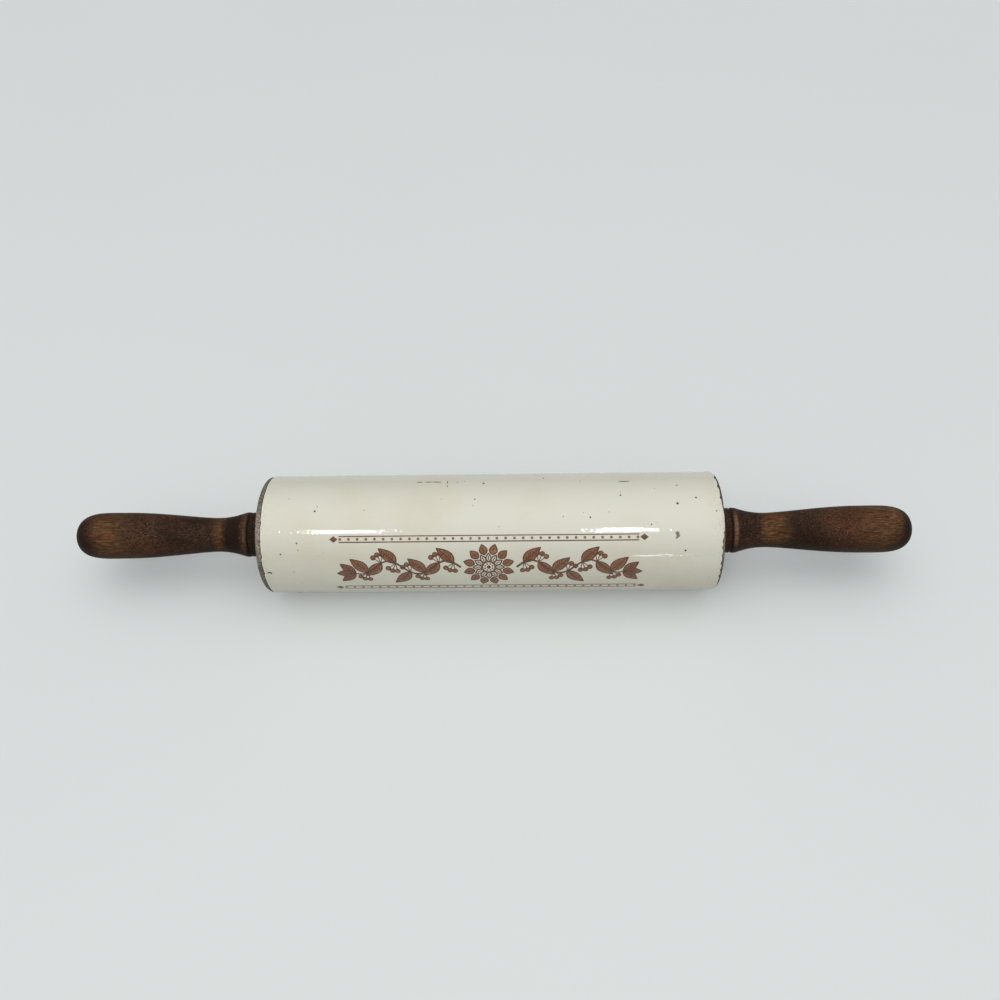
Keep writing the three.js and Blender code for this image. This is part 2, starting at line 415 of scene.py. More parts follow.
class WoodShader(Shader):
    """Wood of one handle, with reaches counted outwards from the face of its collar."""

    def __init__(self, name, collar_x, outward, wear):
        super().__init__(name)
        self.collar_x = collar_x
        self.outward = outward
        self.wear = wear
        self.reach = self.times(self.maths("SUBTRACT", self.axis("X"), collar_x), outward)
        self.fleck = self.noise(1.1 * MM, 0.6 * MM, detail=3, roughness=0.75)
        self.streak = self.noise(6 * MM, 0.5 * MM, detail=5, roughness=0.65)

    def past(self, place, bounds, to_low=0.0, to_high=1.0):
        """Smooth step between two bounds in millimetres."""
        start, full = bounds
        return self.fade(place, start * MM, full * MM, to_low, to_high)

    def band(self, place, start, full, end, none):
        """Share that rises and falls again along the handle."""
        return self.times(self.past(place, (start, full)), self.past(place, (end, none), 1.0, 0.0))

    def patch(self, reach, degrees, inner, outer, share):
        """Share that falls off round a point at an angle above the front."""
        point = on_axis(self.collar_x + self.outward * reach * MM, WAIST_RADIUS, math.radians(degrees))
        return self.past(self.distance(point), (inner, outer), share, 0.0)

    def dark_share(self):
        """Where the stain is darkest: in the cove, on the collar, at the end grain and in a patch."""
        waist_start = self.wear["waist"][0]
        cove = self.band(self.reach, *COVE_STAIN_START, waist_start - 2, waist_start + 0.5)
        cove = self.times(cove, self.wear["cove_share"])
        collar = self.past(self.reach, COLLAR_STAIN_END, self.wear["collar_share"], 0.0)
        end_grain = self.past(self.reach, END_GRAIN_START, 0.0, 0.6)
        shaded = self.larger(end_grain, self.patch(*self.wear["dark_patch"]))
        return self.larger(self.larger(cove, collar), shaded)

    def stained(self):
        """Colour of the stain: finely speckled, clouded and dotted."""
        colour = self.mix(self.fade(self.fleck, 0.36, 0.66), srgb(30, 20, 13), srgb(92, 66, 48))
        cloud = self.fade(self.noise(15 * MM, 9 * MM, detail=3), 0.42, 0.6, 0.0, 0.55)
        colour = self.mix(cloud, colour, srgb(36, 26, 21))
        dot = self.fade(self.cells(1.7 * MM, 1.0 * MM), 0.1, 0.24, 0.6, 0.0)
        colour = self.mix(dot, colour, srgb(136, 112, 90))
        colour = self.mix(self.dark_share(), colour, srgb(28, 18, 13))
        warm = self.times(self.patch(*self.wear["warm_patch"]), self.fade(self.fleck, 0.3, 0.6))
        return self.mix(warm, colour, srgb(128, 80, 54))

    def worn_share(self):
        """Where waist and tip are rubbed through, in patchy bands with streaky ends."""
        drift = self.maths("SUBTRACT", self.noise(5 * MM, 0.8 * MM, detail=5, roughness=0.6), 0.5)
        wandering = self.maths("ADD", self.reach, self.times(drift, 10 * MM))
        facing = self.maths("ABSOLUTE", self.towards(self.wear["side"]))
        waist_side = self.past(facing, (2, 8), 0.15, self.wear["waist_share"])
        waist = self.times(self.band(wandering, *self.wear["waist"]), waist_side)
        tip_side = self.past(facing, (2, 11.5), 0.15, self.wear["tip_share"])
        tip = self.times(self.band(wandering, *self.wear["tip"]), tip_side)
        patchy = self.fade(self.noise(3 * MM, 0.9 * MM, detail=5, roughness=0.75), 0.38, 0.6, 0.25, 1.0)
        return self.times(self.larger(waist, tip), patchy)

    def rubbed_through(self, stain):
        """Stain worn away to streaky lighter wood, with a yellowish fringe."""
        worn = self.worn_share()
        fringe = self.times(self.times(worn, self.maths("SUBTRACT", 1.0, worn)), 1.4)
        stain = self.mix(fringe, stain, srgb(86, 66, 40))
        bare = self.mix(self.fade(self.streak, 0.4, 0.6), srgb(52, 34, 21), srgb(156, 109, 72))
        return self.mix(self.times(worn, 0.64), stain, bare)

    def bead_wear_and_highlight(self, colour):
        """The bead beside the groove, rubbed a little paler all round, and paler still on its upper front as
        a painted highlight.
        """
        rubbed_and_lit = self.past(self.towards(BEAD_RUBBED_AND_LIT), (6.2, 11.3), 0.1, self.wear["bead_share"])
        bead = self.times(self.band(self.reach, *self.wear["bead"]), rubbed_and_lit)
        pale = self.mix(self.fade(self.streak, 0.32, 0.68), srgb(74, 52, 38), srgb(142, 110, 84))
        return self.mix(bead, colour, pale)


def wood_material(name, collar_x, outward, wear):
    """Dark stained hardwood with a fine speckle, rubbed through to streaky lighter wood in bands, with
    painted shade on its underside and on the tip's lower front.
    """
    shader = WoodShader(name, collar_x, outward, wear)
    colour = shader.rubbed_through(shader.stained())
    # Painted shade: a dark patch on the lower front of the tip.
    colour = shader.mix(shader.patch(*wear["painted_tip_shade"]), colour, srgb(32, 22, 16))
    red = shader.fade(shader.noise(11 * MM, 7 * MM, detail=4), 0.42, 0.62, 0.0, 0.5)
    colour = shader.mix(red, colour, RED_TINT, "MULTIPLY")
    colour = shader.bead_wear_and_highlight(colour)
    # Painted shade: the wood is darkened towards the underside of the handle.
    under = shader.fade(shader.axis("Z"), AXIS_Z - 10 * MM, AXIS_Z + 5 * MM, 0.5, 0.0)
    colour = shader.mix(under, colour, srgb(30, 19, 13))
    pore = shader.fade(shader.cells(2.6 * MM, 0.5 * MM), 0.1, 0.26, 1.0, 0.0)
    colour = shader.mix(shader.times(pore, 0.6), colour, srgb(20, 12, 8))
    # Painted shade: the groove is darkened nearly to black.
    groove = shader.times(shader.band(shader.reach, *GROOVE_SHADE), 0.8)
    colour = shader.mix(groove, colour, srgb(16, 10, 7))
    gloss = shader.fade(shader.fleck, 0.3, 0.7, 0.45, 0.65)
    relief = shader.bump(shader.streak, 0.06 * MM)
    relief = shader.bump(shader.maths("SUBTRACT", 1.0, pore), 0.1 * MM, under=relief)
    return shader.surface(Base_Color=colour, Roughness=gloss, Specular_IOR_Level=0.07, Normal=relief)


def steel_material():
    """Drawn steel: fine lines along the rod and a dull film."""
    shader = Shader("drawn_steel")
    line = shader.noise(30 * MM, 0.15 * MM, detail=3)
    colour = shader.mix(line, srgb(150, 150, 148), srgb(196, 196, 193))
    gloss = shader.fade(shader.noise(4 * MM, detail=4), 0.3, 0.7, 0.28, 0.45)
    relief = shader.bump(line, 0.01 * MM)
    return shader.surface(Base_Color=colour, Roughness=gloss, Metallic=1.0, Normal=relief)


def nylon_material():
    """Natural nylon, yellowed and greyed by use."""
    shader = Shader("natural_nylon")
    grime = shader.fade(shader.noise(3 * MM, detail=4), 0.45, 0.75)
    colour = shader.mix(grime, srgb(206, 197, 172), srgb(170, 159, 134))
    return shader.surface(Base_Color=colour, Roughness=0.5, Normal=shader.bump(grime, 0.02 * MM))


# Turned shapes

def placed(name, data):
    """New object of a mesh, lamp or camera, in the scene."""
    thing = bpy.data.objects.new(name, data)
    bpy.context.scene.collection.objects.link(thing)
    return thing


def smooth(mesh):
    """Turns the faces outward and smooths all but the sharp edges."""
    work = bmesh.new()
    work.from_mesh(mesh)
    bmesh.ops.recalc_face_normals(work, faces=work.faces)
    work.to_mesh(mesh)
    work.free()
    mesh.shade_smooth()
    mesh.set_sharp_from_angle(angle=SHARP_EDGE)


def ring_points(ring, angles):
    """Points of a ring that is (x, radius), or a function of the angle that gives both."""
    if callable(ring):
        return [on_axis(*ring(angle), angle) for angle in angles]
    if ring[1] == 0:
        return [on_axis(*ring, 0.0)]
    return [on_axis(*ring, angle) for angle in angles]


def faces_between(here, there):
    """Faces between two rings of vertices, where one ring may be a single point on the axis."""
    faces = []
    count = max(len(here), len(there))
    for k in range(count):
        after = (k + 1) % count
        if len(here) == 1:
            faces.append((here[0], there[after], there[k]))
        elif len(there) == 1:
            faces.append((here[k], here[after], there[0]))
        else:
            faces.append((here[k], here[after], there[after], there[k]))
    return faces


def turned(name, rings, segments, materials, ring_material=None, closed=True):
    """Mesh turned about the axis, which ends at the axis or closes on its first ring."""
    angles = [FULL_TURN * i / segments for i in range(segments)]
    vertices = []
    rows = []
    for ring in rings:
        points = ring_points(ring, angles)
        rows.append(range(len(vertices), len(vertices) + len(points)))
        vertices += points
    if closed:
        rows.append(rows[0])
    faces = []
    looks = []
    for i, (here, there) in enumerate(zip(rows, rows[1:])):
        between = faces_between(here, there)
        faces += between
        looks += [ring_material[i] if ring_material else 0] * len(between)
    mesh = bpy.data.meshes.new(name)
    mesh.from_pydata(vertices, [], faces)
    for material in materials:
        mesh.materials.append(material)
    mesh.polygons.foreach_set("material_index", looks)
    smooth(mesh)
    return placed(name, mesh)


def bezier(start, start_guide, end_guide, end, steps):
    points = []
    for i in range(steps + 1):
        t = i / steps
        s = 1 - t
        weights = (s ** 3, 3 * s * s * t, 3 * s * t * t, t ** 3)
        guides = (start, start_guide, end_guide, end)
        points.append(tuple(sum(w * p[k] for w, p in zip(weights, guides)) for k in range(2)))
    return points


def arc(centre, reach_x, reach_radius, start, end, steps):
    """Stretch of an ellipse in (x, radius), with angles counted from +x."""
    points = []
    for i in range(steps + 1):
        angle = start + (end - start) * i / steps
        points.append((centre[0] + reach_x * math.cos(angle), centre[1] + reach_radius * math.sin(angle)))
    return points


def without_repeats(points):
    return [p for i, p in enumerate(points) if i == 0 or math.dist(p, points[i - 1]) > 1e-7]


# Barrel

# Chips in the rims' glaze: degrees above the front, width along the rim and depth in millimetres
LEFT_CHIPS = ((62, 2.2, 0.5), (31, 3.0, 0.4), (12, 1.6, 0.4), (205, 4.0, 0.7), (300, 3.0, 0.6))
RIGHT_CHIPS = (
    (113, 3.0, 0.8), (98, 2.0, 0.7), (84, 1.4, 0.6), (50, 1.0, 0.6), (42, 2.5, 0.6), (36, 1.5, 0.6),
    (28, 1.2, 0.5), (20, 2.0, 0.6), (12, 1.4, 0.5), (4, 1.8, 0.6), (170, 5.0, 0.9), (255, 2.5, 0.6),
    (320, 4.0, 0.8),
)

# Order of the barrel's materials
GLAZE, LIP, CLAY, DARK_EDGE = 0, 1, 2, 3
LIP_RINGS = 4

# Rise of the glaze's edge: run from its start in millimetres, and share of its thickness
GLAZE_LIP = (
    (0.0, 0.0), (0.05, 0.4), (0.15, 0.8), (0.3, 1.0), (0.5, 1.06), (0.8, 1.06), (1.4, 1.03), (2.4, 1.0),
)

# Rings over the bare rim, as shares of the run to the glaze
BARE_SHARES = [i / 10 for i in range(9)] + [0.92]


def wander(angle, turns, seed):
    """Smooth random value from -1 to 1 that closes on itself round the axis."""
    return noise.noise(Vector((turns * math.cos(angle), turns * math.sin(angle), seed)))


def ragged(angle, slow_turns, quick_turns, quick_share, seed):
    """Random run of the glaze's edge: a slow wander and a quick one."""
    return 0.7 * wander(angle, slow_turns, seed) + quick_share * wander(angle, quick_turns, seed + 1)


def chipped(angle, chips):
    """Depth that the chips take off the glaze's edge."""
    depth = 0.0
    for degrees, width, bite in chips:
        away = math.remainder(angle - math.radians(degrees), FULL_TURN) * ROLLER_RADIUS
        depth = max(depth, bite * MM * math.exp(-(2 * away / (width * MM)) ** 2))
    return depth


def left_glaze_start(angle):
    return LEFT_GLAZE_START + LEFT_RAGGED * ragged(angle, 5, 23, 0.4, 1.0) + chipped(angle, LEFT_CHIPS)


def right_glaze_start(angle):
    away = math.remainder(angle - GLAZE_RUN_ANGLE, FULL_TURN) / GLAZE_RUN_SPREAD
    start = RIGHT_GLAZE_START - GLAZE_RUN * math.exp(-away * away)
    return start + RIGHT_RAGGED * ragged(angle, 6, 26, 0.5, 3.0) + chipped(angle, RIGHT_CHIPS)


def rim_point(run, lift):
    """Place on a rim at a run from the foot of its round: (distance from the end face, radius)."""
    round_run = RIM_ROUND * QUARTER_TURN
    clay_radius = ROLLER_RADIUS - GLAZE_THICKNESS
    if run >= round_run:
        return RIM_ROUND + run - round_run, clay_radius + lift
    turn = run / RIM_ROUND
    return (RIM_ROUND - (RIM_ROUND + lift) * math.cos(turn),
            clay_radius - RIM_ROUND + (RIM_ROUND + lift) * math.sin(turn))


def rim_rings(end_x, inward, glaze_start):
    """Rings over the bare round from the end face, and rings over the glaze's lip."""
    def ring_at(share, run, lift):
        def ring(angle):
            away, radius = rim_point(share * glaze_start(angle) + run, lift)
            return end_x + inward * away, radius
        return ring

    bare = [ring_at(share, 0.0, 0.0) for share in BARE_SHARES]
    lip = [ring_at(1.0, run * MM, share * GLAZE_THICKNESS) for run, share in GLAZE_LIP]
    return bare, lip


def barrel_ring(x):
    """Ring of the gently waving glaze."""
    def ring(angle):
        place = Vector((x / GLAZE_WAVE_LENGTH, 2 * math.cos(angle), 2 * math.sin(angle)))
        return x, ROLLER_RADIUS + GLAZE_WAVE * noise.noise(place)
    return ring


def inner_rings():
    """The end bores' recesses and the cavity, from the right end to the left."""
    sleeve = SLEEVE_RADIUS + SEAT_GAP
    recess = sleeve + FLANGE_WIDTH
    floor = ROLLER_HALF - FLANGE_THICKNESS - SEAT_GAP
    wall = ROLLER_HALF - END_WALL
    corner = (wall - CAVITY_CORNER, ROLLER_RADIUS - BARREL_WALL - CAVITY_CORNER)
    right = [(ROLLER_HALF, recess), (floor, recess), (floor, sleeve), (wall, sleeve)]
    right += arc(corner, CAVITY_CORNER, CAVITY_CORNER, 0, QUARTER_TURN, CAVITY_STEPS)
    left = [(-x, radius) for x, radius in reversed(right)]
    return [(ROLLER_MIDDLE + x, radius) for x, radius in right + left]


def make_barrel():
    left_bare, left_lip = rim_rings(ROLLER_LOW.x, 1, left_glaze_start)
    right_bare, right_lip = rim_rings(ROLLER_HIGH.x, -1, right_glaze_start)
    start = ROLLER_LOW.x + LEVEL_GLAZE_START
    steps = round((ROLLER_HIGH.x - LEVEL_GLAZE_START - start) / BARREL_STEP)
    straight = [barrel_ring(start + BARREL_STEP * i) for i in range(steps + 1)]
    rings = left_bare + left_lip + straight + right_lip[::-1] + right_bare[::-1] + inner_rings()
    glazed = len(left_lip) + len(straight) + len(right_lip) - 1
    rim = [DARK_EDGE] + [CLAY] * (len(left_bare) - 2) + [DARK_EDGE] + [LIP] * LIP_RINGS
    looks = rim + [GLAZE] * (glazed - 2 * LIP_RINGS) + rim[::-1]
    looks += [CLAY] * (len(rings) - len(looks))
    materials = [glaze_material(), lip_highlight_material(), clay_material(), dark_edge_material()]
    return turned("stoneware_barrel", rings, BARREL_SEGMENTS, materials, looks)


# Bushes, washers and rod

def eased(points):
    """Outline with each corner cut back a little, for a ring that closes on itself."""
    result = []
    for i, corner in enumerate(points):
        for other in (points[i - 1], points[(i + 1) % len(points)]):
            share = EDGE_BREAK / math.dist(corner, other)
            result.append(tuple(c + (o - c) * share for c, o in zip(corner, other)))
    return result


def make_bush(side, end_x, inward, material):
    flange = SLEEVE_RADIUS + FLANGE_WIDTH
    back = end_x + inward * FLANGE_THICKNESS
    inner = end_x + inward * END_WALL
    outline = [(inner, BUSH_HOLE), (inner, SLEEVE_RADIUS), (back, SLEEVE_RADIUS), (back, flange),
               (end_x, flange), (end_x, BUSH_HOLE)]
    return turned(f"{side}_bearing_bush", eased(outline), SMALL_SEGMENTS, [material])


def make_washer(side, material):
    low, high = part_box(f"{side}_washer")
    radius = (high.z - low.z) / 2
    outline = [(low.x, BUSH_HOLE), (low.x, radius), (high.x, radius), (high.x, BUSH_HOLE)]
    return turned(f"{side}_thrust_washer", eased(outline), SMALL_SEGMENTS, [material])


def make_rod(material):
    tip = ROD_RADIUS - ROD_CHAMFER
    rings = [(ROD_LOW.x, 0), (ROD_LOW.x, tip), (ROD_LOW.x + ROD_CHAMFER, ROD_RADIUS),
             (ROD_HIGH.x - ROD_CHAMFER, ROD_RADIUS), (ROD_HIGH.x, tip), (ROD_HIGH.x, 0)]
    return turned("steel_rod", rings, SMALL_SEGMENTS, [material], closed=False)


# Handles

def handle_outline(length):
    """(reach from the collar's face, radius) from the socket's floor round the outside to the tip."""
    socket = ROD_RADIUS + SEAT_GAP
    edge = COLLAR_EDGE_ROUND
    half_groove = GROOVE_WIDTH / 2
    groove = (COLLAR_LENGTH + half_groove, COLLAR_RADIUS)
    shoulder = (COLLAR_LENGTH + GROOVE_WIDTH + SHOULDER_RISE, SHOULDER_RADIUS)
    shoulder_foot = (shoulder[0], COLLAR_RADIUS)
    shoulder_height = SHOULDER_RADIUS - COLLAR_RADIUS
    waist = (WAIST_FROM_COLLAR, WAIST_RADIUS)
    belly = (length - BELLY_FROM_TIP, BELLY_RADIUS)
    cove = waist[0] - shoulder[0]
    swell = belly[0] - waist[0]
    points = [(SOCKET_DEPTH, 0), (SOCKET_DEPTH, socket), (0, socket)]
    points += arc((edge, COLLAR_RADIUS - edge), edge, edge, math.pi, QUARTER_TURN, ROUND_STEPS)
    points += arc(groove, half_groove, GROOVE_DEPTH, math.pi, FULL_TURN, GROOVE_STEPS)
    points += arc(shoulder_foot, SHOULDER_RISE, shoulder_height, math.pi, QUARTER_TURN, ROUND_STEPS)
    points += bezier(shoulder, (shoulder[0] + SHOULDER_FULLNESS * cove, shoulder[1]),
                     (waist[0] - WAIST_FULLNESS_INNER * cove, waist[1]), waist, COVE_STEPS)
    points += bezier(waist, (waist[0] + WAIST_FULLNESS_OUTER * swell, waist[1]),
                     (belly[0] - BELLY_FULLNESS_INNER * swell, belly[1]), belly, BELLY_STEPS)
    points += bezier(belly, (belly[0] + BELLY_FULLNESS_OUTER * BELLY_FROM_TIP, belly[1]),
                     (length, TIP_FULLNESS * belly[1]), (length, 0), BELLY_STEPS)
    return without_repeats(points)


def make_handle(side, outward, wear):
    low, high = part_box(f"{side}_handle")
    collar_x = low.x if outward > 0 else high.x
    rings = [(collar_x + outward * reach, radius) for reach, radius in handle_outline(high.x - low.x)]
    material = wood_material(f"{side}_stained_wood", collar_x, outward, wear)
    return turned(f"{side}_turned_handle", rings, HANDLE_SEGMENTS, [material], closed=False)


# Shapes printed or marked on the barrel, drawn flat: u along the pin, v up round the barrel, in millimetres

# The print's place, its lift off the glaze, its lines' lift off the fills, its depth and its slices' width
PRINT_ELEVATION = math.radians(18)
PRINT_LIFT = 0.04 * MM
LINE_LIFT = 0.03 * MM
PRINT_DEPTH = 0.12 * MM
PRINT_SLICE = 1.0 * MM

# Order of the inks
LINE_INK, FILL_INK = 0, 1

# Widths of lines
OUTLINE_WIDTH = 0.6
RIB_WIDTH = 0.35
STALK_WIDTH = 0.4
BERRY_LINE = 0.5
CREASE_WIDTH = 0.45
RULE_WIDTH = 0.5

# Leaves: steps along a leaf, and its ribs' feet as shares of its length, their run and their reach aside
LEAF_STEPS = 14
RIB_FEET = (0.2, 0.32, 0.44, 0.56)
RIB_RUN = 0.14
RIB_ASIDE = 0.32

# Rosette: each ring of petals has the petals' foot from the middle, length, width and turn, and whether they
# are filled
PETALS = 12
PETAL_RINGS = ((7.1, 5.3, 3.7, 0.5, True), (3.2, 4.4, 2.5, 0.0, False))
EYE_RADIUS = 3.0
EYE_DOT = 1.0
EYE_BEADS = 8
EYE_BEAD_RING = 1.9
EYE_BEAD_RADIUS = 0.4

# Vine, with sizes of leaves as length and width, and angles in degrees from the way that it grows
VINE_START = 13.5
VINE_END = 65
VINE_HEIGHT = 3.8
VINE_WAVE = 28
VINE_STEPS = 70
FIRST_LEAF = 3.5
LEAF_COUNT = 7
LEAF_SPACING = 7
LEAF_SIZE = (11, 5.2)
LEAF_ANGLE = 52
LEAF_CURL = 0.15
TIP_LEAF_SIZE = (9, 4.2)
TIP_LEAF_ANGLES = (-38, 0, 38)
BERRY_ANGLES = (38, 68, 98)
BERRY_STALK = 4.8
BERRY_RADIUS = 1.1

# Rules with their pearls, and the lozenges at their ends
RULE_HEIGHT = 15
RULE_HALF_LENGTH = 72
RULE_STEP = 2
RULE_OFFSET = 1.4
PEARL_SPACING = 4.2
PEARLS_EACH_WAY = 17
PEARL_RADIUS = 0.7
LOZENGE_PLACE = 74.5
LOZENGE_HALF_LENGTH = 2
LOZENGE_HALF_HEIGHT = 1.6


def add_patch(sheet, points, ink=LINE_INK):
    lift = LINE_LIFT if ink == LINE_INK else 0.0
    face = sheet.faces.new([sheet.verts.new((u * MM, v * MM, lift)) for u, v in points])
    face.material_index = ink


def add_stroke(sheet, path, width):
    """Line along a path. Its width is a number, or a function of the share along it."""
    sides = []
    last = len(path) - 1
    for i, (u, v) in enumerate(path):
        before, after = path[max(i - 1, 0)], path[min(i + 1, last)]
        across = Vector((before[1] - after[1], after[0] - before[0])).normalized()
        half = (width(i / last) if callable(width) else width) / 2
        edges = [(u + way * half * across.x, v + way * half * across.y) for way in (-1, 1)]
        sides.append([sheet.verts.new((x * MM, y * MM, LINE_LIFT)) for x, y in edges])
    for (a, b), (c, d) in zip(sides, sides[1:]):
        sheet.faces.new((a, c, d, b)).material_index = LINE_INK


def add_outlined(sheet, outline, line_width, filled=True):
    if filled:
        add_patch(sheet, outline, FILL_INK)
    add_stroke(sheet, outline + outline[:2], line_width)


def around(centre, radius, angle):
    return (centre[0] + radius * math.cos(angle), centre[1] + radius * math.sin(angle))


def circle(centre, radius, count=20):
    return [around(centre, radius, FULL_TURN * i / count) for i in range(count)]


def turned_about(points, origin, angle):
    c, s = math.cos(angle), math.sin(angle)
    return [(origin[0] + c * u - s * v, origin[1] + s * u + c * v) for u, v in points]


def leaf_outline(length, width, curl=0.0):
    """Pointed leaf along +u from its stalk, its tip curling aside."""
    upper = []
    lower = []
    for i in range(LEAF_STEPS + 1):
        t = i / LEAF_STEPS
        half = width / 2 * math.sin(math.pi * t ** 0.8)
        aside = curl * length * t * t
        upper.append((length * t, aside + half))
        lower.append((length * t, aside - half))
    return upper + lower[-2:0:-1]


def add_leaf(sheet, stalk, angle, size, curl=0.0):
    """A filled leaf with a vein and short ribs."""
    length, width = size
    add_outlined(sheet, turned_about(leaf_outline(length, width, curl), stalk, angle), OUTLINE_WIDTH)
    vein = [(length * t, curl * length * t * t) for t in (0.0, 0.3, 0.6, 0.92)]
    add_stroke(sheet, turned_about(vein, stalk, angle), lambda share: 0.7 - 0.3 * share)
    for foot in RIB_FEET:
        for way in (-1, 1):
            tip = foot + RIB_RUN
            start = (length * foot, curl * length * foot ** 2)
            end = (length * tip, curl * length * tip ** 2 + way * width * RIB_ASIDE)
            add_stroke(sheet, turned_about([start, end], stalk, angle), RIB_WIDTH)


def add_berry(sheet, stalk, angle):
    tip = turned_about([(BERRY_STALK, 0.0)], stalk, angle)[0]
    add_stroke(sheet, [stalk, tip], STALK_WIDTH)
    add_outlined(sheet, circle(tip, BERRY_RADIUS), BERRY_LINE)


def add_rosette(sheet):
    """A round flower: beaded eye, a ring of open petals and an outer ring of filled ones."""
    for first, length, width, turn, filled in PETAL_RINGS:
        for i in range(PETALS):
            angle = FULL_TURN * (i + turn) / PETALS
            foot = around((0, 0), first, angle)
            petal = turned_about(leaf_outline(length, width), foot, angle)
            add_outlined(sheet, petal, OUTLINE_WIDTH, filled)
            crease = [(0.2 * length, 0.0), (0.7 * length, 0.0)]
            add_stroke(sheet, turned_about(crease, foot, angle), CREASE_WIDTH)
    add_outlined(sheet, circle((0, 0), EYE_RADIUS, 40), OUTLINE_WIDTH, filled=False)
    add_patch(sheet, circle((0, 0), EYE_DOT))
    for i in range(EYE_BEADS):
        middle = around((0, 0), EYE_BEAD_RING, FULL_TURN * (i + 0.5) / EYE_BEADS)
        add_patch(sheet, circle(middle, EYE_BEAD_RADIUS, 10))


def vine(u):
    """Height of the waving stem at a distance from the rosette's middle."""
    return VINE_HEIGHT * math.sin((u - VINE_START) * FULL_TURN / VINE_WAVE)


def add_vine(sheet, way):
    """One half of the vine: leaves on alternate sides, each with three berries across the stem from it."""
    def heading(degrees):
        angle = math.radians(degrees)
        return angle if way > 0 else math.pi - angle

    stem = [VINE_START + (VINE_END - VINE_START) * i / VINE_STEPS for i in range(VINE_STEPS + 1)]
    add_stroke(sheet, [(way * u, vine(u)) for u in stem], lambda share: 1.1 - 0.4 * share)
    for i in range(LEAF_COUNT):
        u = VINE_START + FIRST_LEAF + LEAF_SPACING * i
        stalk = (way * u, vine(u))
        up = 1 if i % 2 == 0 else -1
        add_leaf(sheet, stalk, heading(LEAF_ANGLE * up), LEAF_SIZE, -LEAF_CURL * up * way)
        for degrees in BERRY_ANGLES:
            add_berry(sheet, stalk, heading(-degrees * up))
    tip = (way * VINE_END, vine(VINE_END))
    for degrees in TIP_LEAF_ANGLES:
        add_leaf(sheet, tip, heading(degrees), TIP_LEAF_SIZE)


def add_rules(sheet, height):
    """A pair of plain rules with a row of pearls between them and a lozenge at each end."""
    places = range(-RULE_HALF_LENGTH, RULE_HALF_LENGTH + 1, RULE_STEP)
    for offset in (-RULE_OFFSET, RULE_OFFSET):
        add_stroke(sheet, [(u, height + offset) for u in places], RULE_WIDTH)
    for i in range(-PEARLS_EACH_WAY, PEARLS_EACH_WAY + 1):
        add_patch(sheet, circle((PEARL_SPACING * i, height), PEARL_RADIUS, 14), FILL_INK)
    for middle in (-LOZENGE_PLACE, LOZENGE_PLACE):
        add_patch(sheet, [(middle - LOZENGE_HALF_LENGTH, height), (middle, height - LOZENGE_HALF_HEIGHT),
                          (middle + LOZENGE_HALF_LENGTH, height), (middle, height + LOZENGE_HALF_HEIGHT)])


def wrapped(name, sheet, elevation, materials):
    """Wraps a flat sheet round the barrel, a hair proud of the glaze, as thin closed patches."""
    sheet.normal_update()
    for face in sheet.faces:
        if face.normal.z < 0:
            face.normal_flip()
    heights = [vertex.co.y for vertex in sheet.verts]
    low, high = min(heights), max(heights)
    for i in range(1, math.ceil((high - low) / PRINT_SLICE)):
        geometry = sheet.verts[:] + sheet.edges[:] + sheet.faces[:]
        cut = (0, low + i * PRINT_SLICE, 0)
        bmesh.ops.bisect_plane(sheet, geom=geometry, plane_co=cut, plane_no=(0, 1, 0))
    bmesh.ops.triangulate(sheet, faces=sheet.faces)
    for vertex in sheet.verts:
        radius = ROLLER_RADIUS + PRINT_LIFT + vertex.co.z
        angle = elevation + vertex.co.y / ROLLER_RADIUS
        vertex.co = on_axis(ROLLER_MIDDLE + vertex.co.x, radius, angle)
    mesh = bpy.data.meshes.new(name)
    sheet.to_mesh(mesh)
    sheet.free()
    for material in materials:
        mesh.materials.append(material)
    piece = placed(name, mesh)
    thickness = piece.modifiers.new("thickness", "SOLIDIFY")
    thickness.thickness = PRINT_DEPTH
    thickness.offset = -1
    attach(piece, "roller")


def make_print():
    sheet = bmesh.new()
    add_rosette(sheet)
    for way in (-1, 1):
        add_vine(sheet, way)
    for height in (-RULE_HEIGHT, RULE_HEIGHT):
        add_rules(sheet, height)
    inks = [ink_material("line_ink", srgb(84, 50, 30), srgb(116, 76, 50)),
            ink_material("fill_ink", srgb(132, 84, 54), srgb(162, 114, 80))]
    wrapped("printed_vine", sheet, PRINT_ELEVATION, inks)


# Dark specks in the glaze: millimetres from the barrel's middle, degrees above the front, and width
SPECKS = (
    (-84, 73.5, 0.9), (-83, 78, 0.5), (-92.4, 43.4, 0.8), (-92, 37, 0.5), (-100.6, 33, 0.7),
    (-2.5, 106, 1.0), (-6.5, 84.5, 0.6), (-15.5, 108.5, 0.5), (-12, 110, 0.5), (27, 115, 0.7),
    (45, 108, 0.5), (64, 87.4, 0.8),
    (49, 65, 0.8), (36, 66, 0.5), (91, 78, 1.1), (91.8, 99.6, 0.7), (100, 84, 0.8), (94, 33.6, 0.8),
    (78, 58, 0.6), (109, 70, 0.6), (58, 70, 0.4), (-60, 74, 0.4),
)
SPECK_POINTS = 11
SPECK_RAGGED = (0.8, 1.3)
SPECK_SEED = 11

# More specks on the hidden side, within a reach from the middle and ranges of degrees and widths
HIDDEN_SPECKS = 34
HIDDEN_REACH = 106
HIDDEN_DEGREES = (145, 335)
HIDDEN_WIDTHS = (0.35, 0.9)

